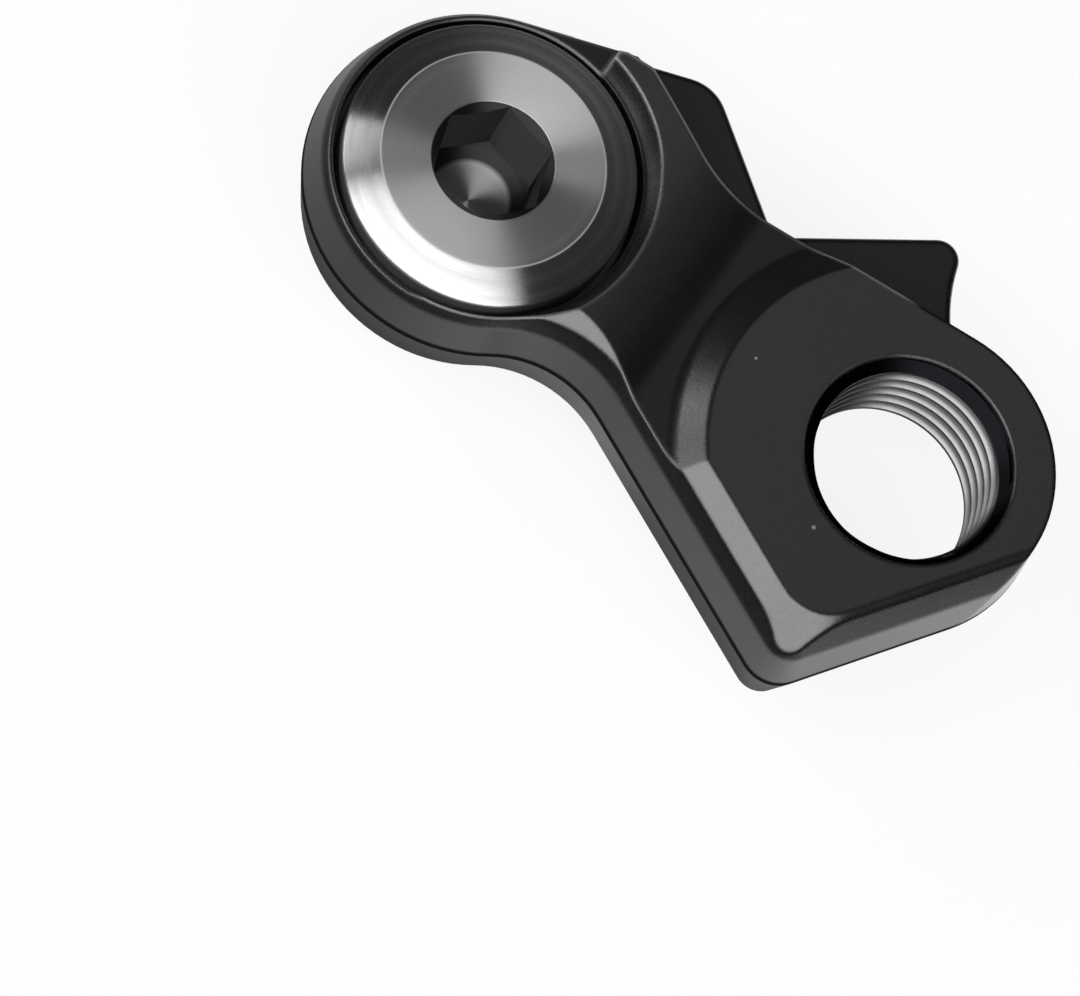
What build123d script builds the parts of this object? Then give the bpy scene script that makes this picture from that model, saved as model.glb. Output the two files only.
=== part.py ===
from build123d import *
import math
import os

os.makedirs("parts", exist_ok=True)

# Frame: the origin is on the bolt axis, in the seat that lies against the bicycle frame.
# +Z runs along the bolt towards its head, and +X runs towards the axle hole.

# Forging levels and draft
pad_z = 6.9
rim_z = 5.9
split_z = 3.25
lug_z = 3.9
wall_draft = 12.8
lower_draft = 11.0
end_draft = 5.8
split_land = 0.05

# Border of the front: a steep bevel, then a shallow one
bevel_z = 5.45
bevel_draft = 32.0
facet_z = 6.26
facet_slope = 29.0

# Eye round the fixing bolt
eye_r = 8.3
seat_z = 4.4
bore_clear = 0.05
bore_chamfer = 0.3
head_clear = 0.35
mouth_gap = 1.1
mouth_rise = 0.1
ramp_x = 0.5
ramp_length = 4.0

# Pad round the axle hole
hole_x = 23.6
thread_r = 5.0
hole_front_chamfer = 0.1
hole_back_chamfer = 0.3
end_r = 7.4
side_reach = 10.8
side_angle = -25.4
foot_angle = 56.0
corner_r = 1.8
neck_r = 5.5
facet_arc_r = 9.65
facet_foot_inset = 1.6
facet_corner_r = 2.4

# Upper side of the neck
shoulder_x = 1.3
shoulder_rise = 0.95
crest_x = 2.6
crest_rise = 1.15
crest_r = 1.6
waist_x = 9.46
waist_r = 7.0
top_lean = 5.5
scoop_x = 4.6
scoop_r = 29.0
scoop_arc = 13.0
valley_r = 4.0
valley_round = 1.2

# Stop lug and horn
lug_lean = 21.5
lug_reach = 10.0
lug_tip_r = 2.2
notch_back = 11.0
notch_drop = 0.68
notch_r = 0.8
horn_back = 3.36
horn_rise = 5.25
horn_tip_r = 1.0
horn_waist_back = 2.4
horn_waist_rise = 2.0
horn_root = 0.9

# Stop on the back of the lug
stop_drop = 2.5
stop_inset = 1.3
stop_back_x = 2.2
stop_back_y = 8.0
stop_side_x = 9.0
stop_side_y = 7.6
stop_r = 0.6
stop_edge = 0.3

# Rounded and bevelled edges
wall_round = 0.4
border_round = 0.25
facet_round = 0.3
lug_round = 0.3
back_bevel = 0.35

# Fixing bolt
bolt_r = thread_r
head_r = 7.0
head_z = pad_z
head_edge_drop = 0.7
face_r = 5.3
face_dish = 0.15
socket_flats = 5.0
socket_rim_r = 2.95
socket_rim_drop = 0.35
socket_depth = 4.6
socket_floor_r = 1.8
socket_cone = 0.7
socket_turn = 47.5
bolt_reach = 6.0
bolt_tip_chamfer = 0.8
relief_r = 4.4
relief_z = 0.05
relief_length = 0.8
bolt_edge = 0.2

# Reach of the cutting shapes past the solid
over = 3.0
tiny = 0.02
far = 30.0

bore_r = bolt_r + bore_clear
recess_r = head_r + head_clear
mouth_r = head_r + mouth_gap
hole = (hole_x, 0)
side_dir = math.radians(side_angle)
foot_dir = math.radians(foot_angle)
lug_way = math.radians(lug_lean)
lug_turn = 90 + lug_lean
wall_run = math.tan(math.radians(wall_draft))
bevel_run = math.tan(math.radians(bevel_draft))
facet_run = 1 / math.tan(math.radians(facet_slope))
bevel_inset = (bevel_z - split_z - split_land) * wall_run
facet_inset = bevel_inset + (facet_z - bevel_z) * bevel_run


def line_point(direction, reach, along):
    # Point on a line that passes the axle hole at a set reach
    return (
        hole_x + reach * math.sin(direction) + along * math.cos(direction),
        along * math.sin(direction) - reach * math.cos(direction),
    )


def corner_point(side, foot):
    # Corner where the long lower side meets the foot
    bend = foot_dir - side_dir
    along = (foot - side * math.cos(bend)) / math.sin(bend)
    return line_point(side_dir, side, along)


def eye_exit(radius, side):
    # Point where the long lower side comes out of the eye
    px, py = line_point(side_dir, side, 0)
    dx, dy = math.cos(side_dir), math.sin(side_dir)
    dot = px * dx + py * dy
    along = math.sqrt(dot * dot - px * px - py * py + radius * radius) - dot
    return line_point(side_dir, side, along)


def on_circle(centre_x, radius, angle):
    # Point on a circle whose centre is on the X axis
    turn = math.radians(angle)
    return (centre_x + radius * math.cos(turn), radius * math.sin(turn))


def angle_of(point, centre_x):
    # Direction of a point seen from a centre on the X axis
    return math.degrees(math.atan2(point[1], point[0] - centre_x))


def near(points, target):
    # Sketch corner closest to a set point
    return points.sort_by_distance(Vector(target[0], target[1], split_z))[0]


corner = corner_point(side_reach, end_r)
foot_end = line_point(foot_dir, end_r, 0)
exit_pt = eye_exit(eye_r, side_reach)
exit_turn = angle_of(exit_pt, 0)
lug_root = on_circle(0, eye_r, lug_turn)
lug_tip = (lug_root[0] + lug_reach * math.cos(lug_way), lug_root[1] + lug_reach * math.sin(lug_way))
notch = (hole_x - notch_back, end_r - notch_drop)
horn_tip = (hole_x - horn_back, end_r + horn_rise)
horn_waist = (hole_x - horn_waist_back, end_r + horn_waist_rise)
top_end = on_circle(hole_x, end_r, 90 + top_lean)
waist = (waist_x, top_end[1] - math.tan(math.radians(top_lean)) * (top_end[0] - waist_x))
shoulder = (shoulder_x, eye_r + shoulder_rise)
crest = (crest_x, eye_r + crest_rise)


def border_outline(inset, root_x):
    # Closed outline of the eye, the long side and the foot at a set inset, open towards the lug and the end
    radius = eye_r - inset
    out = eye_exit(radius, side_reach - inset)
    bend = corner_point(side_reach - inset, end_r - inset)
    last = line_point(foot_dir, end_r - inset, far)
    start = on_circle(0, radius, lug_turn)
    top = (root_x, start[1] + (root_x - start[0]) * math.tan(lug_way))
    CenterArc((0, 0), radius, lug_turn, angle_of(out, 0) + 360 - lug_turn)
    Polyline(out, bend, last, (last[0], 2 * far), (root_x, 2 * far), top, start)
    return out, bend


# Space over the neck, with the slope that rises to the pad
with BuildPart() as scoop:
    with BuildSketch(Plane.XZ.offset(-far)) as neck_side:
        with BuildLine():
            dip = JernArc((scoop_x, pad_z), (1, 0), scoop_r, -scoop_arc)
            rise = JernArc(dip @ 1, dip % 1, valley_r, scoop_arc)
            floor_z = (rise @ 1).Y
            Polyline(rise @ 1, (hole_x, floor_z), (hole_x, pad_z + over))
            Polyline((hole_x, pad_z + over), (scoop_x, pad_z + over), (scoop_x, pad_z))
        make_face()
    extrude(neck_side.sketch, amount=2 * far)
    with BuildSketch(Plane.XZ) as slope:
        with BuildLine():
            slope_base = facet_arc_r + far * facet_run
            slope_top = facet_arc_r - over * facet_run
            Polyline(
                (hole_x, pad_z - far),
                (hole_x - slope_base, pad_z - far),
                (hole_x - slope_top, pad_z + over),
                (hole_x, pad_z + over),
                close=True,
            )
        make_face()
    revolve(slope.sketch, axis=Axis((hole_x, 0, 0), (0, 0, 1)), mode=Mode.SUBTRACT)
    floor_arcs = scoop.edges().filter_by(GeomType.CIRCLE)
    fillet(floor_arcs.filter_by_position(Axis.Z, floor_z - tiny, floor_z + tiny), valley_round)

# Stop lug and horn above the parting line
with BuildPart() as lugs:
    with BuildSketch(Plane.XY.offset(split_z)) as lug_plan:
        with BuildLine():
            horn_in = (hole_x, end_r - horn_root)
            ThreePointArc(horn_in, horn_waist, horn_tip)
            Polyline(horn_tip, notch, lug_tip, lug_root, (0, 0), (hole_x, 0), horn_in)
        make_face()
        fillet(near(lug_plan.vertices(), horn_tip), horn_tip_r)
        fillet(near(lug_plan.vertices(), notch), notch_r)
        fillet(near(lug_plan.vertices(), lug_tip), lug_tip_r)
    extrude(lug_plan.sketch, amount=lug_z - split_z)
    lug_face = lugs.faces().sort_by(Axis.Z)[-1]
    outer_edges = lug_face.edges().filter_by(lambda e: e.center().Y > lug_root[1] / 2 + tiny)
    fillet(outer_edges, lug_round)

# Back half of the forging, drafted away from the parting line
with BuildPart() as lower:
    with BuildSketch(Plane.XY.offset(split_z)) as plate:
        add(lug_plan.sketch_local)
        with BuildLine():
            CenterArc((0, 0), eye_r, lug_turn, exit_turn + 360 - lug_turn)
            Line(exit_pt, corner)
            Line(corner, foot_end)
            CenterArc(hole, end_r, foot_angle - 90, 270 - foot_angle)
            Polyline((hole_x - end_r, 0), (0, 0), lug_root)
        make_face()
        fillet(near(plate.vertices(), exit_pt), neck_r)
        fillet(near(plate.vertices(), corner), corner_r)
    extrude(plate.sketch, amount=-split_z)
    back = lower.faces().sort_by(Axis.Z)[0]
    back_inset = split_z * math.tan(math.radians(lower_draft))
    chamfer(back.edges(), back_inset, length2=split_z - split_land, reference=back)
    chamfer(lower.faces().sort_by(Axis.Z)[0].edges(), back_bevel)

# Forged bracket: eye, neck, pad, stop lug and horn in one piece
with BuildPart() as bracket:
    front_rise = pad_z - split_z
    with BuildSketch(Plane.XY.offset(split_z)) as eye:
        Circle(eye_r)
        with BuildLine():
            wedge_x = lug_root[0] + (shoulder[1] - lug_root[1]) / math.tan(lug_way)
            Polyline(lug_root, (0, 0), (shoulder_x, 0), shoulder, (wedge_x, shoulder[1]), close=True)
        make_face()
    extrude(eye.sketch, amount=front_rise)
    with BuildSketch(Plane.XY.offset(split_z)) as body:
        with BuildLine():
            CenterArc((0, 0), eye_r, -90, exit_turn + 90)
            Line(exit_pt, corner)
            Line(corner, foot_end)
            CenterArc(hole, end_r, foot_angle - 90, 180 + top_lean - foot_angle)
            Polyline(top_end, waist, crest, shoulder, (shoulder_x, 0), (0, 0), (0, -eye_r))
        make_face()
        fillet(near(body.vertices(), exit_pt), neck_r)
        fillet(near(body.vertices(), corner), corner_r)
        fillet(near(body.vertices(), waist), waist_r)
        fillet(near(body.vertices(), crest), crest_r)
    extrude(body.sketch, amount=front_rise, taper=end_draft)
    # Drafted wall, then the steep bevel above it
    steep_start = bevel_inset - (bevel_z - split_z) * bevel_run
    for inset, draft in ((-split_land * wall_run, wall_draft), (steep_start, bevel_draft)):
        with BuildSketch(Plane.XY.offset(split_z)) as border:
            with BuildLine():
                root_x = shoulder_x - front_rise * math.tan(math.radians(draft))
                neck_bend, foot_bend = border_outline(inset, root_x)
            make_face()
            fillet(near(border.vertices(), neck_bend), neck_r + inset)
            fillet(near(border.vertices(), foot_bend), corner_r - inset)
        extrude(border.sketch, amount=front_rise + over / 2, taper=draft, mode=Mode.INTERSECT)
    # Shallow bevel up to the neck and the pad
    with BuildSketch(Plane.XY.offset(split_z)) as brow:
        with BuildLine():
            spread = front_rise * facet_run
            brow_inset = facet_inset - (facet_z - split_z) * facet_run
            brow_foot = end_r - facet_foot_inset + spread
            brow_r = eye_r - brow_inset
            brow_exit = eye_exit(brow_r, side_reach - brow_inset)
            brow_corner = corner_point(side_reach - brow_inset, brow_foot)
            brow_far = line_point(foot_dir, brow_foot, far)
            brow_end = on_circle(0, brow_r, 180)
            CenterArc((0, 0), brow_r, 180, angle_of(brow_exit, 0) + 180)
            Polyline(brow_exit, brow_corner, brow_far)
            Polyline(brow_far, (brow_far[0], 2 * far), (brow_end[0], 2 * far), brow_end)
        make_face()
        fillet(near(brow.vertices(), brow_exit), neck_r + brow_inset)
        fillet(near(brow.vertices(), brow_corner), facet_corner_r + spread)
    extrude(brow.sketch, amount=front_rise + over / 2, taper=90 - facet_slope, mode=Mode.INTERSECT)
    # Rim of the eye: a ramp up to the neck below, a step above
    with BuildSketch(Plane.XZ) as rim_near:
        with BuildLine():
            ramp_end = ramp_x + ramp_length
            ramp_out = ramp_end + over * ramp_length / (pad_z - rim_z)
            Polyline((-far, rim_z), (ramp_x, rim_z), (ramp_end, pad_z), (ramp_out, pad_z + over))
            Polyline((ramp_out, pad_z + over), (-far, pad_z + over), (-far, rim_z))
        make_face()
    extrude(rim_near.sketch, amount=far, mode=Mode.SUBTRACT)
    with BuildSketch(Plane.XZ) as rim_far:
        with BuildLine():
            step_x = shoulder_x + front_rise * math.tan(math.radians(end_draft))
            Polyline((-far, rim_z), (step_x, rim_z), (step_x, pad_z + over))
            Polyline((step_x, pad_z + over), (-far, pad_z + over), (-far, rim_z))
        make_face()
    extrude(rim_far.sketch, amount=-far, mode=Mode.SUBTRACT)
    add(scoop.part, mode=Mode.SUBTRACT)
    level_edges = bracket.edges().filter_by(lambda e: e.bounding_box().size.Z < tiny)
    fillet(level_edges.filter_by_position(Axis.Z, bevel_z - tiny, bevel_z + tiny), wall_round)
    level_edges = bracket.edges().filter_by(lambda e: e.bounding_box().size.Z < tiny)
    fillet(level_edges.filter_by_position(Axis.Z, facet_z - tiny, facet_z + tiny), border_round)
    flats = bracket.faces().filter_by(GeomType.PLANE).filter_by_position(Axis.Z, pad_z - tiny, pad_z + tiny)
    pad_edges = flats.sort_by(Axis.X)[-1].edges()
    arc_and_side = pad_edges.filter_by(lambda e: e.center().X < hole_x and e.center().Y < end_r / 2)
    fillet(arc_and_side, facet_round)
    add(lugs.part)
    add(lower.part)
    with BuildSketch(Plane.XY.offset(-stop_drop)) as stop:
        with BuildLine():
            stop_tip = (lug_tip[0], lug_tip[1] - stop_inset)
            Polyline(stop_tip, (stop_back_x, stop_back_y), (stop_side_x, stop_side_y), close=True)
        make_face()
        fillet(stop.vertices(), stop_r)
    extrude(stop.sketch, amount=stop_drop + split_z)
    fillet(bracket.faces().sort_by(Axis.Z)[0].edges(), stop_edge)
    with BuildSketch(Plane.XZ) as recess:
        with BuildLine():
            bore_rim_r = bore_r + bore_chamfer
            mouth_z = rim_z + mouth_rise
            mouth_out = mouth_r + over * (mouth_r - recess_r) / (pad_z - mouth_z)
            Polyline((0, -over), (bore_rim_r, -over), (bore_rim_r, 0), (bore_r, bore_chamfer))
            Polyline((bore_r, bore_chamfer), (bore_r, seat_z - bore_chamfer), (bore_rim_r, seat_z))
            Polyline((bore_rim_r, seat_z), (recess_r, seat_z), (recess_r, mouth_z))
            Polyline((recess_r, mouth_z), (mouth_out, pad_z + over), (0, pad_z + over), (0, -over))
        make_face()
    revolve(recess.sketch, axis=Axis.Z, mode=Mode.SUBTRACT)
    with BuildSketch(Plane.XZ) as axle_hole:
        with BuildLine():
            wall_x = hole_x + thread_r
            back_x = wall_x + hole_back_chamfer
            front_x = wall_x + hole_front_chamfer
            Polyline((hole_x, -over), (back_x, -over), (back_x, 0), (wall_x, hole_back_chamfer))
            Polyline((wall_x, hole_back_chamfer), (wall_x, pad_z - hole_front_chamfer), (front_x, pad_z))
            Polyline((front_x, pad_z), (front_x, pad_z + over), (hole_x, pad_z + over), (hole_x, -over))
        make_face()
    revolve(axle_hole.sketch, axis=Axis((hole_x, 0, 0), (0, 0, 1)), mode=Mode.SUBTRACT)
bracket.part.label = "bracket"
export_step(bracket.part, "parts/bracket.step")

# Fixing bolt: turned head, plain shank in the bore and a threaded end
with BuildPart() as hanger_bolt:
    with BuildSketch(Plane.XZ) as turned:
        with BuildLine():
            rim_top = head_z - head_edge_drop
            Polyline(
                (0, head_z - face_dish),
                (socket_rim_r, head_z - face_dish),
                (face_r, head_z),
                (head_r, rim_top),
                (head_r, seat_z),
                (bolt_r, seat_z),
                (bolt_r, relief_z + relief_length),
                (relief_r, relief_z + relief_length),
                (relief_r, relief_z),
                (bolt_r, relief_z),
                (bolt_r, bolt_tip_chamfer - bolt_reach),
                (bolt_r - bolt_tip_chamfer, -bolt_reach),
                (0, -bolt_reach),
                close=True,
            )
        make_face()
    revolve(turned.sketch, axis=Axis.Z)
    head_rims = hanger_bolt.edges().filter_by(GeomType.CIRCLE)
    fillet(head_rims.filter_by(lambda e: abs(e.radius - head_r) < tiny), bolt_edge)
    with BuildSketch(Plane.XY.offset(head_z)) as socket:
        RegularPolygon(socket_flats / 2, 6, major_radius=False, rotation=socket_turn)
    extrude(socket.sketch, amount=-socket_depth, mode=Mode.SUBTRACT)
    with BuildSketch(Plane.XZ) as drilled:
        with BuildLine():
            face_z = head_z - face_dish
            floor_z = head_z - socket_depth
            Polyline(
                (0, face_z + over),
                (socket_rim_r, face_z + over),
                (socket_rim_r, face_z),
                (socket_flats / 2, face_z - socket_rim_drop),
                (socket_flats / 2, floor_z),
                (socket_floor_r, floor_z - socket_cone),
                (0, floor_z - socket_cone),
                close=True,
            )
        make_face()
    revolve(drilled.sketch, axis=Axis.Z, mode=Mode.SUBTRACT)
hanger_bolt.part.label = "hanger_bolt"
export_step(hanger_bolt.part, "parts/hanger_bolt.step")
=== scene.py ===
import math
from collections import namedtuple

import bpy
from bpy.props import FloatProperty, FloatVectorProperty, IntProperty, PointerProperty
from mathutils import Matrix, Vector
from mathutils.kdtree import KDTree


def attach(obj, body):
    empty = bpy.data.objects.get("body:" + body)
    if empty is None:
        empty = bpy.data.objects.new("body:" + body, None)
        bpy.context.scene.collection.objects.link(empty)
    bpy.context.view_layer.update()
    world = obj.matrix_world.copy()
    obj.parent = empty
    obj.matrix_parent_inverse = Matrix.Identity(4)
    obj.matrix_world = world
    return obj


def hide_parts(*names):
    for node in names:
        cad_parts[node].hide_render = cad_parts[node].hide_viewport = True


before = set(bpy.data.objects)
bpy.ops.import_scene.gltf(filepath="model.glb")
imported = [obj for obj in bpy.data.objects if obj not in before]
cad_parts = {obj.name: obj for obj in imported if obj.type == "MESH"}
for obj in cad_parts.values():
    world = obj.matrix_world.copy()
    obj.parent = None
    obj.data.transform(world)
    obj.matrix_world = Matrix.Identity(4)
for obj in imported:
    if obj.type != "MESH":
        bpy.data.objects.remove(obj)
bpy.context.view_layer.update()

bl_info = {
    "name": "Derailleur hanger",
    "version": (1, 0, 0),
    "blender": (4, 5, 0),
    "location": "3D View > Sidebar > Hanger",
    "description": "Dresses a forged derailleur hanger with its threads, finishes and studio",
    "category": "Object",
}

MM = 0.001
# Points closer together than this are one point
MERGE = 0.001 * MM
WHITE = (1, 1, 1, 1)

# Planes that trim the bracket's shoulder, in millimetres and degrees. A plane starts at a point, leans from
# the X axis, tilts back from upright, and cuts over a width and between two levels.
Plane = namedtuple("Plane", "point lean tilt width low high")
SHOULDER_WALL = Plane((-0.4, 8.13, 5.45), lean=21.5, tilt=12.8, width=3.1, low=3.96, high=6.2)
SHOULDER_BEVEL = Plane((-0.4, 7.95, 5.9), lean=21.5, tilt=32.0, width=3.1, low=5.4, high=6.3)
SHOULDER_TIP = Plane((1.5, 8.23, 6.9), lean=25.0, tilt=5.8, width=2.2, low=5.88, high=7.4)
NECK_SIDE = Plane((1.7, 8.46, 6.9), lean=5.0, tilt=5.8, width=2.2, low=5.87, high=7.4)

# Block that closes the slit beside the shoulder, in millimetres
SLIT_CENTRE = (1.5, 8.2, 4.7)
SLIT_SIZE = (0.6, 1.8, 2.399)

# Small bare nicks on the pad, in millimetres
Nick = namedtuple("Nick", "point radius")
NICKS = (Nick((21.7, -5.6, 6.9), 0.13), Nick((15.1, -0.4, 6.9), 0.1))


def metres(millimetres):
    """Values in millimetres, turned into metres."""
    return [value * MM for value in millimetres]


def length(name, description, millimetres):
    """Property for a length, kept in metres."""
    return FloatProperty(
        name=name, description=description, default=millimetres * MM, unit="LENGTH", precision=5
    )


def place(name, description, millimetres):
    """Property for a place or a size in two or three directions, kept in metres."""
    return FloatVectorProperty(
        name=name, description=description, default=metres(millimetres), size=len(millimetres),
        unit="LENGTH", precision=5,
    )


def direction(name, description, vector):
    """Property for a direction."""
    return FloatVectorProperty(
        name=name, description=description, default=vector, subtype="DIRECTION", size=3
    )


def turn(name, description, degrees):
    """Property for an angle."""
    return FloatProperty(name=name, description=description, default=math.radians(degrees), unit="ROTATION")


def colour(name, description, rgb):
    """Property for a linear colour."""
    return FloatVectorProperty(
        name=name, description=description, default=rgb, subtype="COLOR", size=3, min=0, max=1
    )


def amount(name, description, value):
    """Property for a plain number."""
    return FloatProperty(name=name, description=description, default=value)


def count(name, description, value):
    """Property for a whole number."""
    return IntProperty(name=name, description=description, default=value, min=1)


class HangerThreads(bpy.types.PropertyGroup):
    """Sizes of the axle thread and of the bolt's thread."""

    pitch: length("Pitch", "Rise of the thread in one turn", 1.0)
    outer: length("Outer radius", "Radius of the bolt's thread crests", 4.985)
    root: length("Root radius", "Radius at the bottom of the bolt's thread", 4.42)
    bore: length("Bore radius", "Radius of the axle thread's crests", 4.46)
    wall: length("Wall radius", "Radius at the bottom of the axle thread", 4.995)
    crest_flat: amount("Crest flat", "Share of the pitch that the crest takes", 0.14)
    root_flat: amount("Root flat", "Share of the pitch that the root takes", 0.22)
    steps: count("Steps", "Facets in one turn of a thread", 96)
    parts: count("Parts", "Faces across each crest, root and flank of a thread", 4)
    hole_x: length("Axle hole", "Distance from the bolt axis to the axle hole", 23.6)
    hole_low: length("Hole back", "Level where the axle thread starts", 0.3)
    hole_high: length("Hole front", "Level where the axle thread ends", 6.8)
    lead: length("Lead in", "Depth of the bevel at each end of the axle thread", 0.4)
    rod_high: length("Thread top", "Level where the bolt's thread starts", 0.2)
    rod_low: length("Thread tip", "Level of the bolt's tip", -6.0)
    tip: length("Tip bevel", "Bevel on the bolt's tip", 0.8)


class HangerBolt(bpy.types.PropertyGroup):
    """Sizes of the fixing bolt's head, socket and shank."""

    face_z: length("Face level", "Level of the head's highest ring", 6.9)
    face_r: length("Face radius", "Radius of the head's face", 5.3)
    face_dish: length("Dish", "Fall of the face towards the socket", 0.15)
    head_r: length("Head radius", "Radius of the head", 7.0)
    head_drop: length("Cone drop", "Fall of the cone round the face", 0.7)
    seat_z: length("Seat", "Level of the head's underside", 4.4)
    edge: length("Edge", "Rounding of the head's edge", 0.2)
    glint: length("Face edge", "Rounding between the face and the cone", 0.12)
    shank_r: length("Shank radius", "Radius of the plain shank", 5.0)
    relief_r: length("Relief radius", "Radius of the groove above the thread", 4.4)
    relief_z: length("Relief top", "Level of the top of the groove", 0.85)
    shank_low: length("Shank end", "Level where the shank goes over into the thread", 0.1)
    flats: length("Flats", "Width of the hex socket across its flats", 5.0)
    socket_z: length("Socket floor", "Level of the hex socket's floor", 2.3)
    socket_turn: turn("Socket turn", "Turn of the hex socket's flats", 17.5)
    rim_r: length("Socket rim", "Radius of the bevel round the socket", 2.95)
    rim_drop: length("Socket bevel", "Depth of the bevel round the socket", 0.35)
    rim_edge: length("Rim edge", "Rounding between the bevel and the face", 0.06)
    drill_r: length("Drill radius", "Radius of the drilled hole inside the hex", 2.46)
    drill_flat: length("Drill floor", "Radius of the drilled floor", 1.8)
    drill_z: length("Drill level", "Level of the drilled floor", 1.6)
    steps: count("Steps", "Facets round the head", 144)


class HangerBlack(bpy.types.PropertyGroup):
    """Black finish of the forging."""

    tone: colour("Black", "Colour of the finish", (0.0045, 0.0045, 0.0054))
    cloud_tone: amount("Cloud tone", "Tone of the lighter clouds as a multiple of the black", 1.9)
    roughness: amount("Roughness", "Roughness of the finish", 0.27)
    ior: amount("Refraction", "Refractive index of the finish", 1.75)
    grain: amount("Grain", "Fineness of the grain", 5200.0)
    grain_depth: length("Grain depth", "Depth of the grain", 0.006)
    cloud: amount("Clouds", "Fineness of the clouds", 260.0)
    seam_z: length("Parting line", "Level of the forging's parting line", 3.3)
    seam_half: length("Parting line width", "Half the width of the parting line", 0.26)
    seam_dark: amount("Parting line tone", "Share of the shine that the parting line loses", 0.85)
    soft_edge: length("Soft edge", "Radius over which the finish softens sharp edges", 0.3)
    # Painted shade: faces that look up and lie below the pad's level are mixed towards a matt dark shader.
    low_face_shade_z: length("Dull level", "Level below which faces that look up are duller", 6.45)
    low_face_shade: amount("Dull share", "Share of the shine that those faces lose", 0.5)
    # Painted highlight: the light lines along the front edges are painted in this colour, which the real
    # bare nicks share.
    painted_glint_and_nicks: colour("Worn tone", "Colour of worn edges and nicks", (0.55, 0.55, 0.56))
    nick: amount("Nicks", "Strength of the nicks", 0.6)
    # Painted highlight: strength and reach of the light lines painted along the front edges.
    painted_glints: amount("Edge wear", "Strength of the wear along the front edges", 0.6)
    glint_width: length("Wear width", "Radius over which edges are worn", 0.4)
    glint_end: length("Wear end", "Distance along the part at which the wear ends", 20.0)
    glint_side: length("Wear side", "Distance across the part from which the wear is strong", 4.5)
    glint_level: length("Wear level", "Level above which edges are worn", 5.6)
    glint_rest: amount("Faint wear", "Share of the wear on the other side", 0.35)


class HangerBare(bpy.types.PropertyGroup):
    """Bare aluminium of the cut axle thread."""

    tone: colour("Bare aluminium", "Colour of the cut thread", (0.2, 0.2, 0.205))
    # Painted shade: the thread's roots are painted darker than its crests.
    root_shade_tone: amount("Root tone", "Tone of the thread's roots as a share of its crests", 0.2)
    roughness: amount("Thread roughness", "Roughness of the cut thread", 0.3)
    grain: amount("Grain", "Fineness of the grain", 3500.0)
    grain_depth: length("Grain depth", "Depth of the grain", 0.004)
    cloud: amount("Clouds", "Fineness of the clouds", 500.0)
    crest: length("Bright crest", "Depth from the crests at which the thread starts to darken", 0.07)
    mouth_z: length("Thread mouth", "Level above which the hole is black", 6.0)


class HangerSteel(bpy.types.PropertyGroup):
    """Turned steel of the bolt."""

    tone: colour("Steel", "Colour of the bolt", (0.63, 0.63, 0.635))
    cloud_tone: amount("Cloud tone", "Tone of the duller clouds as a share of the steel's", 0.78)
    cone_tone: amount("Cone tone", "Tone of the head's cone as a share of the steel's", 0.65)
    # Painted shade: the socket's walls are painted nearly black and its floor a little darker.
    socket_shade_tone: amount("Socket tone", "Tone of the dark socket as a share of the steel's", 0.03)
    roughness: amount("Roughness", "Roughness of the head's face", 0.39)
    cone_polish: amount("Cone polish", "Roughness that the cone has less than the face", 0.12)
    brush: amount("Ring marks", "How far the lathe's rings stretch a reflection", 0.95)
    fine: amount("Fine rings", "Fineness of the fine rings", 14000.0)
    coarse: amount("Coarse rings", "Fineness of the coarse rings", 2600.0)
    ring_depth: length("Ring depth", "Depth of the rings", 0.003)
    cloud: amount("Clouds", "Fineness of the clouds", 420.0)
    # Painted highlight: a light line painted round the edge of the head's face.
    painted_face_glint: amount("Face edge line", "Strength of the light line round the face", 0.7)


class HangerStudio(bpy.types.PropertyGroup):
    """Floor, lamps and camera."""

    middle: place("Middle", "Place that the lamps point at", (11.0, 0.0, 0.0))
    floor_z: length("Floor level", "Level of the floor", -6.2)
    floor_half: length("Floor half width", "Half the width of the floor card", 60.0)
    floor_tone: colour("Floor", "Colour of the floor", (0.97, 0.97, 0.97))
    white: amount("White share", "Share of plain white in the floor that the camera sees", 0.87)
    # Painted light and shade on the floor, seen in reflections only: brighter along +X, with a painted
    # shadow under the part.
    painted_floor_light: amount("Floor shine", "Brightness of the floor in reflections, below the neck", 0.85)
    painted_light_x: length("Floor shine place", "Distance along the part at which it has that brightness", 12.0)
    painted_light_slope: amount("Floor slope", "Change of that brightness with each millimetre along the part", 0.02)
    painted_light_low: amount("Lowest shine", "Lowest brightness of the floor in reflections", 0.5)
    painted_light_high: amount("Highest shine", "Highest brightness of the floor in reflections", 1.4)
    shade: amount("Contact shade", "Share of that brightness that is lost right under the part", 0.8)
    eye_shade: length("Shade under the eye", "Radius of the shade under the eye", 14.0)
    pad_shade: length("Shade under the pad", "Radius of the shade under the pad", 15.0)
    pad: place("Pad", "Place of the shade under the pad", (21.5, -3.0))
    key: amount("Key lamp", "Power of the large lamp in front, in watts", 3.4)
    key_place: place("Key place", "Place of the large lamp", (0.0, -235.0, 440.0))
    key_size: place("Key size", "Size of the large lamp", (900.0, 270.0))
    side: amount("Side lamp", "Power of the lamp on the left, in watts", 0.34)
    side_place: place("Side place", "Place of the lamp on the left", (-404.0, -20.0, 290.0))
    side_size: place("Side size", "Size of the lamp on the left", (200.0, 120.0))
    card: amount("Top card", "Power of the dim card above, in watts", 0.065)
    card_place: place("Card place", "Place of the dim card", (10.0, 200.0, 457.0))
    card_size: place("Card size", "Size of the dim card", (200.0, 250.0))
    ambient: amount("Ambient", "Strength of the light from all round", 0.035)
    lens: amount("Lens", "Focal length in millimetres, for a sensor 36 mm wide", 200.0)
    camera: place("Camera", "Place of the camera", (8.04, -117.84, 256.4))
    camera_right: direction("Camera right", "Direction to the picture's right", (0.81074, 0.53596, 0.23546))
    camera_up: direction("Camera up", "Direction to the picture's top", (-0.58532, 0.74908, 0.31029))


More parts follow.
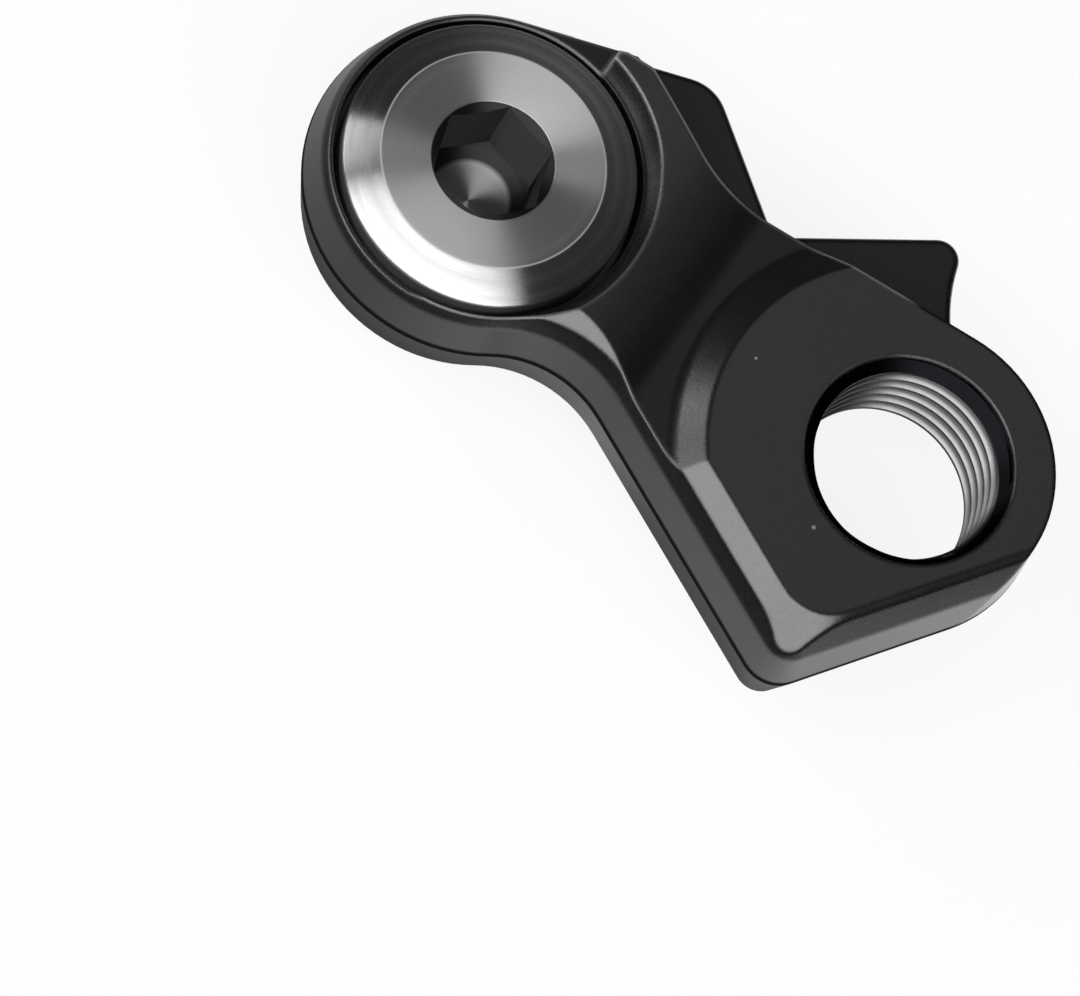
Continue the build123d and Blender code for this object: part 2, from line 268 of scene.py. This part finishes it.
class Value:
    """A shader value that can be used in plain arithmetic."""

    def __init__(self, nodes, socket):
        self.nodes = nodes
        self.socket = socket

    def math(self, operation, *others, clamp=False):
        settings = {"operation": operation, "use_clamp": clamp}
        return self.nodes.add("ShaderNodeMath", settings, dict(enumerate((self, *others))))

    def __add__(self, other):
        return self.math("ADD", other)

    def __radd__(self, other):
        return self.math("ADD", other)

    def __sub__(self, other):
        return self.math("SUBTRACT", other)

    def __rsub__(self, other):
        return self.nodes.add("ShaderNodeMath", {"operation": "SUBTRACT"}, {0: other, 1: self})

    def __mul__(self, other):
        return self.math("MULTIPLY", other)

    def __rmul__(self, other):
        return self.math("MULTIPLY", other)

    def __truediv__(self, other):
        return self.math("DIVIDE", other)

    def __pow__(self, exponent):
        return self.math("POWER", exponent)

    def __abs__(self):
        return self.math("ABSOLUTE")

    def largest(self, other):
        return self.math("MAXIMUM", other)

    def smallest(self, other):
        return self.math("MINIMUM", other)

    def clamped(self):
        """The value, kept between 0 and 1."""
        return self.math("ADD", 0.0, clamp=True)

    def beyond(self, start, width):
        """Mask that goes from 0 to 1 over a width from a start on."""
        return ((self - start) / width).clamped()

    def below(self, start, width):
        """Mask that goes from 0 to 1 over a width down from a start."""
        return ((start - self) / width).clamped()

    def around(self, middle, half):
        """Mask that is 1 at a middle and falls to 0 on both sides of it."""
        return (1.0 - abs(self - middle) / half).clamped()


class Nodes:
    """A node tree that starts empty."""

    def __init__(self, tree):
        self.tree = tree
        self.tree.nodes.clear()

    def add(self, kind, settings=None, sockets=None, output=0):
        """Adds a node, sets or links its sockets and returns one of its outputs."""
        node = self.tree.nodes.new(kind)
        for key, value in (settings or {}).items():
            setattr(node, key, value)
        for key, value in (sockets or {}).items():
            if isinstance(value, Value):
                self.tree.links.new(value.socket, node.inputs[key])
            else:
                node.inputs[key].default_value = value
        return Value(self, node.outputs[output]) if node.outputs else None

    def axes(self, vector):
        """The three parts of a vector."""
        return [self.add("ShaderNodeSeparateXYZ", None, {0: vector}, output=axis) for axis in "XYZ"]

    def light_path(self, ray):
        """Mask of the rays of one kind."""
        return self.add("ShaderNodeLightPath", output=f"Is {ray} Ray")

    def shade(self, factor, first, second):
        """Mix of two shaders."""
        return self.add("ShaderNodeMixShader", None, {0: factor, 1: first, 2: second})


class Finish(Nodes):
    """Nodes of a material, with the object's own coordinates as their place."""

    def __init__(self, name):
        self.material = bpy.data.materials.new(name)
        self.material.use_nodes = True
        super().__init__(self.material.node_tree)
        self.place = self.add("ShaderNodeTexCoord", output="Object")

    def noise(self, scale, detail=2.0, roughness=0.5):
        """Soft noise over the piece."""
        sockets = {"Vector": self.place, "Scale": scale, "Detail": detail, "Roughness": roughness}
        return self.add("ShaderNodeTexNoise", None, sockets)

    def bands(self, value, scale):
        """Noise along one value."""
        sockets = {"W": value, "Scale": scale, "Detail": 2.0}
        return self.add("ShaderNodeTexNoise", {"noise_dimensions": "1D"}, sockets)

    def spot(self, centre, radius):
        """Mask that is 1 at a point and falls to 0 at a radius."""
        sockets = {0: self.place, 1: centre}
        gap = self.add("ShaderNodeVectorMath", {"operation": "DISTANCE"}, sockets, output="Value")
        return (1.0 - gap / radius).clamped()

    def blend(self, factor, first, second):
        """Mix of two colours."""
        sockets = {"Factor": factor, 6: first, 7: second}
        return self.add("ShaderNodeMix", {"data_type": "RGBA"}, sockets, output=2)

    def rounding(self, radius):
        """Normal of the surface with its edges rounded."""
        return self.add("ShaderNodeBevel", {"samples": 8}, {"Radius": radius})

    def bump(self, height, depth, strength, **sockets):
        """Normal with a height laid over it."""
        sockets.update(Height=height, Distance=depth, Strength=strength)
        return self.add("ShaderNodeBump", None, sockets)

    def surface(self, sockets):
        """The Principled shader with its sockets set."""
        return self.add("ShaderNodeBsdfPrincipled", None, sockets)

    def show(self, shader):
        """Puts a shader on the surface and returns the material."""
        self.add("ShaderNodeOutputMaterial", None, {"Surface": shader})
        return self.material


def rgba(shade, share=1.0):
    """A colour, or a share of it, for a socket."""
    return (*(part * share for part in shade), 1.0)


def black_forging(black):
    """Black finish with a fine grain, a dark parting line, painted highlights along the front edges, painted
    shade on the low faces that look up, and small bare nicks.
    """
    finish = Finish("black_forging")
    along, across, level = finish.axes(finish.place)
    facing = finish.add("ShaderNodeNewGeometry", output="Normal")
    upward = finish.axes(facing)[2]
    grain = finish.noise(black.grain, 3.0, 0.6)
    cloud = finish.noise(black.cloud, 3.0)
    seam = level.around(black.seam_z, black.seam_half)
    # Painted shade on the low faces that look up
    low_face_shade = upward.beyond(0.9, 0.1) * level.below(black.low_face_shade_z, 0.2 * MM) * black.low_face_shade
    # Painted highlight: a light line painted along the front edges, strongest on the neck's +Y side.
    rounded_edge = finish.rounding(black.glint_width)
    bend = finish.add(
        "ShaderNodeVectorMath", {"operation": "DOT_PRODUCT"}, {0: rounded_edge, 1: facing}, output="Value"
    )
    front = level.beyond(black.glint_level, 0.1 * MM) * along.below(black.glint_end, MM)
    strong = across.beyond(black.glint_side, MM) * (1 - black.glint_rest) + black.glint_rest
    patchy = (cloud * 0.5 + 0.6).clamped()
    painted_glint_and_nicks = bend.below(0.98, 0.125) * front * strong * patchy * black.painted_glints
    # Real bare nicks join the painted edge highlights in one mask.
    for nick in NICKS:
        painted_glint_and_nicks = painted_glint_and_nicks.largest(finish.spot(metres(nick.point), nick.radius * MM) * black.nick)
    tone = finish.blend(cloud * 0.5, rgba(black.tone), rgba(black.tone, black.cloud_tone))
    rough = black.roughness + (grain - 0.5) * 0.12 + (cloud - 0.5) * 0.06
    glossy = finish.surface(
        {
            "Base Color": finish.blend(painted_glint_and_nicks, tone, rgba(black.painted_glint_and_nicks)),
            "Roughness": rough + seam * 0.7,
            "IOR": black.ior,
            "Normal": finish.bump(grain, black.grain_depth, 0.5, Normal=finish.rounding(black.soft_edge)),
        }
    )
    matt = finish.add("ShaderNodeBsdfDiffuse", None, {"Color": rgba(black.tone, 0.5)})
    # The matt dark shader carries both the real dark parting line and the painted shade on the low faces.
    dark = (seam * 1.8).clamped() * black.seam_dark
    return finish.show(finish.shade(dark.largest(low_face_shade), glossy, matt))


def bare_thread(bare, black, threads):
    """Cut aluminium with painted shade in the thread's roots, and black at the mouth."""
    finish = Finish("bare_aluminium")
    along, across, level = finish.axes(finish.place)
    reach = along - threads.hole_x
    radius = (reach * reach + across * across) ** 0.5
    grain = finish.noise(bare.grain)
    cloud = finish.noise(bare.cloud)
    # Painted shade deeper than the crests
    root_shade = radius.beyond(threads.bore + bare.crest, 0.16 * MM)
    mouth = level.beyond(bare.mouth_z, 0.15 * MM)
    cut = finish.blend((root_shade + cloud * 0.3).clamped(), rgba(bare.tone), rgba(bare.tone, bare.root_shade_tone))
    metal = finish.surface(
        {
            "Base Color": finish.blend(mouth, cut, rgba(black.tone)),
            "Metallic": 1.0,
            "Roughness": bare.roughness + (grain - 0.5) * 0.1,
            "Normal": finish.bump(grain, bare.grain_depth, 0.4),
        }
    )
    return finish.show(metal)


def turned_steel(steel, bolt):
    """Steel with the fine rings that a lathe leaves, a darker cone, painted shade in the hex socket and a
    painted light line round the face.
    """
    finish = Finish("turned_steel")
    along, across, level = finish.axes(finish.place)
    radius = (along * along + across * across) ** 0.5
    fine = finish.bands(radius, steel.fine)
    coarse = finish.bands(radius, steel.coarse)
    cloud = finish.noise(steel.cloud, 3.0)
    face_edge = bolt.face_r + 0.02 * MM
    cone = radius.beyond(face_edge, 0.04 * MM)
    # Painted highlight round the face's edge, made by lowering the metallic there
    painted_face_glint = radius.around(face_edge, 0.06 * MM)
    # Painted shade in the hex socket, darkest on its walls
    socket = radius.below(bolt.rim_r - 0.01 * MM, 0.03 * MM)
    socket_wall_shade = level.beyond(bolt.drill_z + 0.05 * MM, 0.2 * MM)
    tone = finish.blend(cloud * 0.6 + coarse * 0.4, rgba(steel.tone), rgba(steel.tone, steel.cloud_tone))
    tone = finish.blend(cone, tone, rgba(steel.tone, steel.cone_tone))
    tone = finish.blend(socket * (socket_wall_shade * 0.8 + 0.12), tone, rgba(steel.tone, steel.socket_shade_tone))
    rough = steel.roughness + (coarse - 0.5) * 0.1
    metal = finish.surface(
        {
            "Base Color": tone,
            "Metallic": 1.0 - painted_face_glint * steel.painted_face_glint,
            "Roughness": rough + socket * 0.15 - cone * steel.cone_polish,
            "Anisotropic": steel.brush,
            "Anisotropic Rotation": 0.25,
            "Normal": finish.bump(fine * 0.8 + coarse * 0.2, steel.ring_depth, 0.3),
        }
    )
    return finish.show(metal)


def only(piece):
    """Selects one piece and makes it active."""
    bpy.ops.object.select_all(action="DESELECT")
    piece.select_set(True)
    bpy.context.view_layer.objects.active = piece


def edit(piece):
    """Opens one piece in edit mode with nothing selected."""
    only(piece)
    bpy.ops.object.mode_set(mode="EDIT")
    bpy.ops.mesh.select_mode(type="VERT")
    bpy.ops.mesh.select_all(action="DESELECT")


def leave():
    """Goes back to object mode."""
    bpy.ops.object.mode_set(mode="OBJECT")


def select_open_edges():
    """Selects the open borders of the piece in edit mode."""
    bpy.ops.mesh.select_mode(type="EDGE")
    bpy.ops.mesh.select_non_manifold(
        extend=False, use_wire=False, use_boundary=True, use_multi_face=False, use_non_contiguous=False,
        use_verts=False,
    )


def apply_modifiers(piece):
    only(piece)
    for modifier in list(piece.modifiers):
        bpy.ops.object.modifier_apply(modifier=modifier.name)


def combine(piece, tool, operation):
    """Joins a tool to a piece or cuts it out, and removes the tool."""
    change = piece.modifiers.new("change", "BOOLEAN")
    change.operation = operation
    change.solver = "EXACT"
    change.object = tool
    apply_modifiers(piece)
    bpy.data.objects.remove(tool)


def drawn_line(name, points):
    """Mesh line that is extruded vertex by vertex through points in the XZ plane."""
    bpy.ops.object.select_all(action="DESELECT")
    bpy.ops.mesh.primitive_plane_add(size=MM)
    piece = bpy.context.object
    piece.name = name
    edit(piece)
    bpy.ops.mesh.select_all(action="SELECT")
    bpy.ops.mesh.merge(type="CENTER")
    last = Vector((0, 0, 0))
    for i, (x, z) in enumerate(points):
        step = Vector((x, 0, z)) - last
        if i:
            bpy.ops.mesh.extrude_vertices_move(TRANSFORM_OT_translate={"value": step})
        else:
            bpy.ops.transform.translate(value=step)
        last = Vector((x, 0, z))
    leave()
    return piece


def sweep(piece, steps, rise=0.0, turns=1, closed=False):
    """Sweeps a line round the Z axis, with a rise in each turn."""
    screw = piece.modifiers.new("turns", "SCREW")
    screw.axis = "Z"
    screw.angle = 2 * math.pi
    screw.screw_offset = rise
    screw.iterations = turns
    screw.steps = steps
    screw.render_steps = steps
    screw.use_merge_vertices = closed
    screw.merge_threshold = MERGE
    apply_modifiers(piece)


def helix(name, low_r, high_r, threads, low, high):
    """Open helical wall with flat crests and roots, cut at two levels."""
    pitch, parts = threads.pitch, threads.parts
    flank = pitch * (1 - threads.crest_flat - threads.root_flat) / 2
    root, crest = pitch * threads.root_flat, pitch * threads.crest_flat
    start = low - 1.5 * pitch
    bends = [
        (low_r, start),
        (low_r, start + root),
        (high_r, start + root + flank),
        (high_r, start + root + flank + crest),
        (low_r, start + pitch),
    ]
    stations = bends[:1]
    for (r0, z0), (r1, z1) in zip(bends, bends[1:]):
        stations += [(r0 + (r1 - r0) * k / parts, z0 + (z1 - z0) * k / parts) for k in range(1, parts + 1)]
    piece = drawn_line(name, stations)
    sweep(piece, threads.steps, rise=pitch, turns=math.ceil((high - low) / pitch) + 3)
    edit(piece)
    bpy.ops.mesh.select_all(action="SELECT")
    bpy.ops.mesh.remove_doubles(threshold=2 * MERGE)
    for level, inner, outer in ((low, True, False), (high, False, True)):
        bpy.ops.mesh.select_all(action="SELECT")
        bpy.ops.mesh.bisect(plane_co=(0, 0, level), plane_no=(0, 0, 1), clear_inner=inner, clear_outer=outer)
    leave()
    return piece


def rounded(points, steps=5):
    """Profile through (radius, level, rounding) points, with arcs at the rounded ones."""
    line = []
    for i, (x, z, rounding) in enumerate(points):
        here = Vector((x, z))
        if not rounding:
            line.append(tuple(here))
            continue
        back = (Vector(points[i - 1][:2]) - here).normalized()
        on = (Vector(points[i + 1][:2]) - here).normalized()
        half = back.angle(on) / 2
        centre = here + (back + on).normalized() * rounding / math.sin(half)
        start = here + back * rounding / math.tan(half) - centre
        side = 1 if back.x * on.y - back.y * on.x < 0 else -1
        for k in range(steps + 1):
            swing = side * (math.pi - 2 * half) * k / steps
            cos, sin = math.cos(swing), math.sin(swing)
            line.append((centre.x + start.x * cos - start.y * sin, centre.y + start.x * sin + start.y * cos))
    return line


def limit_radius(piece, lowest=None, highest=None):
    """Moves the wall's points out to a smallest radius, or in to a largest one, at each level."""
    for vertex in piece.data.vertices:
        radius = math.hypot(vertex.co.x, vertex.co.y)
        target = radius
        if lowest:
            target = max(target, lowest(vertex.co.z))
        if highest:
            target = min(target, highest(vertex.co.z))
        vertex.co.x *= target / radius
        vertex.co.y *= target / radius


def clean(piece, soft_angle=40):
    """Merges doubles, turns the faces outwards and smooths the soft edges."""
    edit(piece)
    bpy.ops.mesh.select_all(action="SELECT")
    bpy.ops.mesh.remove_doubles(threshold=MERGE)
    bpy.ops.mesh.normals_make_consistent(inside=False)
    leave()
    only(piece)
    bpy.ops.object.shade_smooth_by_angle(angle=math.radians(soft_angle))


def finish_with(piece, material):
    piece.data.materials.clear()
    piece.data.materials.append(material)


class HANGER_OT_bracket(bpy.types.Operator):
    """Trims the shoulder of the forged bracket and gives it its black finish"""

    bl_idname = "hanger.bracket"
    bl_label = "Finish bracket"

    def copy(self, node):
        """Merged copy of the solid."""
        only(node)
        bpy.ops.object.duplicate()
        piece = bpy.context.object
        piece.name = "forged_bracket"
        edit(piece)
        bpy.ops.mesh.select_all(action="SELECT")
        bpy.ops.mesh.remove_doubles(threshold=MERGE / 2)
        leave()
        return piece

    def block(self, centre, size, lean=0.0, tilt=0.0):
        """Block that is tilted back and then leant from the X axis."""
        bpy.ops.object.select_all(action="DESELECT")
        bpy.ops.mesh.primitive_cube_add(size=1, location=centre, scale=size, rotation=(tilt, 0, lean))
        return bpy.context.object

    def shave(self, piece, plane, thick=2 * MM):
        """Cuts off what lies outside a plane."""
        lean, tilt = math.radians(plane.lean), math.radians(plane.tilt)
        point = Vector(metres(plane.point))
        width, low, high = metres((plane.width, plane.low, plane.high))
        along = Vector((math.cos(lean), math.sin(lean), 0))
        out = Vector((-math.sin(lean) * math.cos(tilt), math.cos(lean) * math.cos(tilt), math.sin(tilt)))
        climb = along.cross(out) * ((low + high) / 2 - plane.point[2] * MM) / math.cos(tilt)
        centre = point + along * width / 2 + out * thick / 2 + climb
        size = (width, thick, (high - low) / math.cos(tilt))
        combine(piece, self.block(centre, size, lean, tilt), "DIFFERENCE")

    def keep_normals(self, piece, node):
        """Gives the copy the solid's normals where its faces are unchanged, and flat faces elsewhere."""
        only(piece)
        bpy.ops.object.shade_smooth()
        source, mesh = node.data, piece.data
        centres = KDTree(len(source.polygons))
        for face in source.polygons:
            centres.insert(face.center, face.index)
        centres.balance()
        normals = [Vector((0, 0, 1))] * len(mesh.loops)
        for face in mesh.polygons:
            _, index, gap = centres.find(face.center)
            twin = source.polygons[index]
            same = gap < MERGE and twin.normal.dot(face.normal) > 0.99
            for i in face.loop_indices:
                normals[i] = face.normal.copy()
                if same:
                    point = mesh.vertices[mesh.loops[i].vertex_index].co
                    corner = min(
                        twin.loop_indices,
                        key=lambda k: (source.vertices[source.loops[k].vertex_index].co - point).length,
                    )
                    normals[i] = source.corner_normals[corner].vector.copy()
        mesh.normals_split_custom_set(normals)

    def execute(self, context):
        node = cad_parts["bracket"]
        piece = self.copy(node)
        combine(piece, self.block(metres(SLIT_CENTRE), metres(SLIT_SIZE)), "UNION")
        for plane in (SHOULDER_WALL, SHOULDER_BEVEL, SHOULDER_TIP, NECK_SIDE):
            self.shave(piece, plane)
        self.keep_normals(piece, node)
        finish_with(piece, black_forging(context.scene.hanger_black))
        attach(piece, "bracket")
        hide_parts("bracket")
        return {"FINISHED"}


class HANGER_OT_axle_thread(bpy.types.Operator):
    """Cuts the bright thread in the axle hole"""

    bl_idname = "hanger.axle_thread"
    bl_label = "Cut axle thread"

    def execute(self, context):
        scene = context.scene
        threads = scene.hanger_threads
        low, high = threads.hole_low, threads.hole_high
        piece = helix("axle_thread", threads.bore, threads.wall, threads, low, high)

        def lead_in(z):
            depth = min(z - low, high - z)
            return threads.wall - depth * (threads.wall - threads.bore) / threads.lead

        limit_radius(piece, lowest=lead_in)
        edit(piece)
        select_open_edges()
        bpy.ops.mesh.bridge_edge_loops()
        bpy.ops.mesh.select_all(action="SELECT")
        bpy.ops.transform.translate(value=(threads.hole_x, 0, 0))
        leave()
        clean(piece)
        finish_with(piece, bare_thread(scene.hanger_bare, scene.hanger_black, threads))
        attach(piece, "bracket")
        return {"FINISHED"}


class HANGER_OT_fixing_bolt(bpy.types.Operator):
    """Turns the fixing bolt with its socket and threaded end"""

    bl_idname = "hanger.fixing_bolt"
    bl_label = "Turn fixing bolt"

    def body(self, bolt):
        """Head, shank and groove, turned in one go."""
        rim_z = bolt.face_z - bolt.face_dish
        bevel_z = rim_z - bolt.rim_drop * (bolt.rim_r - bolt.drill_r) / (bolt.rim_r - bolt.flats / 2)
        profile = (
            (0, bolt.drill_z, 0),
            (bolt.drill_flat, bolt.drill_z, 0),
            (bolt.drill_r, bolt.socket_z, 0),
            (bolt.drill_r, bevel_z, 0),
            (bolt.rim_r, rim_z, bolt.rim_edge),
            (bolt.face_r, bolt.face_z, bolt.glint),
            (bolt.head_r, bolt.face_z - bolt.head_drop, bolt.edge),
            (bolt.head_r, bolt.seat_z, bolt.edge),
            (bolt.shank_r, bolt.seat_z, 0),
            (bolt.shank_r, bolt.relief_z, 0),
            (bolt.relief_r, bolt.relief_z, 0),
            (bolt.relief_r, bolt.shank_low, 0),
            (0, bolt.shank_low, 0),
        )
        piece = drawn_line("fixing_bolt", rounded(profile))
        sweep(piece, bolt.steps, closed=True)
        clean(piece)
        return piece

    def cut_socket(self, head, bolt):
        """Cuts the hex socket from the face down."""
        depth = bolt.face_z
        bpy.ops.object.select_all(action="DESELECT")
        bpy.ops.mesh.primitive_cylinder_add(
            vertices=6, radius=bolt.flats / math.sqrt(3), depth=depth,
            location=(0, 0, bolt.socket_z + depth / 2), rotation=(0, 0, bolt.socket_turn),
        )
        combine(head, bpy.context.object, "DIFFERENCE")

    def threaded_end(self, threads):
        """Rod with real turns and a bevelled tip."""
        rod = helix("thread", threads.root, threads.outer, threads, threads.rod_low, threads.rod_high)

        def tip_bevel(z):
            return threads.outer - max(0.0, threads.rod_low + threads.tip - z)

        limit_radius(rod, highest=tip_bevel)
        edit(rod)
        select_open_edges()
        bpy.ops.mesh.fill_holes(sides=0)
        leave()
        clean(rod)
        return rod

    def execute(self, context):
        scene = context.scene
        head = self.body(scene.hanger_bolt)
        self.cut_socket(head, scene.hanger_bolt)
        clean(head, soft_angle=20)
        rod = self.threaded_end(scene.hanger_threads)
        only(head)
        rod.select_set(True)
        bpy.ops.object.join()
        finish_with(head, turned_steel(scene.hanger_steel, scene.hanger_bolt))
        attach(head, "hanger_bolt")
        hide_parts("hanger_bolt")
        return {"FINISHED"}


class HANGER_OT_studio(bpy.types.Operator):
    """Sets the floor, the lamps and the camera"""

    bl_idname = "hanger.studio"
    bl_label = "Set studio"

    def floor_finish(self, studio):
        """White to the camera but for a faint shadow; in reflections, a card with painted light that grows
        along the part and a painted shadow under it.
        """
        finish = Finish("white_floor")
        along = finish.axes(finish.place)[0]
        camera = finish.light_path("Camera")
        mirrored = finish.light_path("Glossy").largest(finish.light_path("Transmission"))
        # Painted shadow under the eye and the pad, seen only in reflections
        under = finish.spot((0, 0, studio.floor_z), studio.eye_shade)
        under = under.largest(finish.spot((*studio.pad, studio.floor_z), studio.pad_shade))
        under = (under * 2.2).clamped()
        # Painted light that grows along the part, seen only in reflections
        painted_floor_light = (along - studio.painted_light_x) / MM * studio.painted_light_slope + studio.painted_floor_light
        painted_floor_light = painted_floor_light.largest(studio.painted_light_low).smallest(studio.painted_light_high)
        strength = painted_floor_light * (1.0 - under * studio.shade) * (1.0 - camera) + camera
        lit = finish.surface({"Base Color": rgba(studio.floor_tone), "Roughness": 0.9})
        white = finish.add("ShaderNodeEmission", None, {"Color": WHITE, "Strength": strength})
        return finish.show(finish.shade((camera * studio.white).largest(mirrored), lit, white))

    def floor(self, studio):
        half = studio.floor_half
        bpy.ops.object.select_all(action="DESELECT")
        bpy.ops.mesh.primitive_plane_add(size=2 * half)
        floor = bpy.context.object
        floor.name = "floor"
        edit(floor)
        bpy.ops.mesh.select_all(action="SELECT")
        bpy.ops.transform.resize(value=(1, 2, 1))
        bpy.ops.transform.translate(value=(studio.middle[0], half, studio.floor_z))
        leave()
        finish_with(floor, self.floor_finish(studio))

    def world(self, scene, studio):
        """White to the camera, and dim light from all round."""
        scene.world = bpy.data.worlds.new("studio")
        scene.world.use_nodes = True
        nodes = Nodes(scene.world.node_tree)
        dim = nodes.add("ShaderNodeBackground", None, {"Color": WHITE, "Strength": studio.ambient})
        white = nodes.add("ShaderNodeBackground", None, {"Color": WHITE, "Strength": 1.0})
        both = nodes.shade(nodes.light_path("Camera"), dim, white)
        nodes.add("ShaderNodeOutputWorld", None, {"Surface": both})

    def lamp(self, scene, name, spot, aim, size, power):
        """Flat lamp that points at the part."""
        data = bpy.data.lights.new(name, "AREA")
        data.shape = "RECTANGLE"
        data.size, data.size_y = size
        data.energy = power
        lamp = bpy.data.objects.new(name, data)
        lamp.location = spot
        lamp.rotation_euler = (Vector(aim) - Vector(spot)).to_track_quat("-Z", "Y").to_euler()
        scene.collection.objects.link(lamp)

    def camera(self, scene, studio):
        data = bpy.data.cameras.new("camera")
        data.lens = studio.lens
        data.sensor_width = 36.0
        data.clip_start = 0.01
        camera = bpy.data.objects.new("camera", data)
        right = Vector(studio.camera_right)
        back = right.cross(Vector(studio.camera_up)).normalized()
        axes = Matrix((right, back.cross(right), back)).transposed().to_4x4()
        camera.matrix_world = Matrix.Translation(studio.camera) @ axes
        scene.collection.objects.link(camera)
        scene.camera = camera

    def execute(self, context):
        scene = context.scene
        studio = scene.hanger_studio
        self.floor(studio)
        self.world(scene, studio)
        self.lamp(scene, "key", studio.key_place, studio.middle, studio.key_size, studio.key)
        self.lamp(scene, "side", studio.side_place, studio.middle, studio.side_size, studio.side)
        self.lamp(scene, "card", studio.card_place, studio.middle, studio.card_size, studio.card)
        self.camera(scene, studio)
        scene.view_settings.view_transform = "Standard"
        return {"FINISHED"}


class HANGER_PT_panel(bpy.types.Panel):
    """Sidebar panel with the hanger's pieces and sizes"""

    bl_idname = "HANGER_PT_panel"
    bl_label = "Derailleur hanger"
    bl_space_type = "VIEW_3D"
    bl_region_type = "UI"
    bl_category = "Hanger"

    def draw(self, context):
        column = self.layout.column()
        for operator in OPERATORS:
            column.operator(operator.bl_idname)
        for name in GROUPS:
            group = getattr(context.scene, name)
            box = column.box()
            for key in group.bl_rna.properties.keys():
                if key not in ("rna_type", "name"):
                    box.prop(group, key)


OPERATORS = (HANGER_OT_bracket, HANGER_OT_axle_thread, HANGER_OT_fixing_bolt, HANGER_OT_studio)
GROUPS = {
    "hanger_threads": HangerThreads,
    "hanger_bolt": HangerBolt,
    "hanger_black": HangerBlack,
    "hanger_bare": HangerBare,
    "hanger_steel": HangerSteel,
    "hanger_studio": HangerStudio,
}
CLASSES = (*GROUPS.values(), *OPERATORS, HANGER_PT_panel)


def register():
    for kind in CLASSES:
        bpy.utils.register_class(kind)
    for name, group in GROUPS.items():
        setattr(bpy.types.Scene, name, PointerProperty(type=group))


def unregister():
    for name in GROUPS:
        delattr(bpy.types.Scene, name)
    for kind in reversed(CLASSES):
        bpy.utils.unregister_class(kind)


def main():
    register()
    bpy.ops.hanger.bracket()
    bpy.ops.hanger.axle_thread()
    bpy.ops.hanger.fixing_bolt()
    bpy.ops.hanger.studio()


if __name__ == "__main__":
    main()
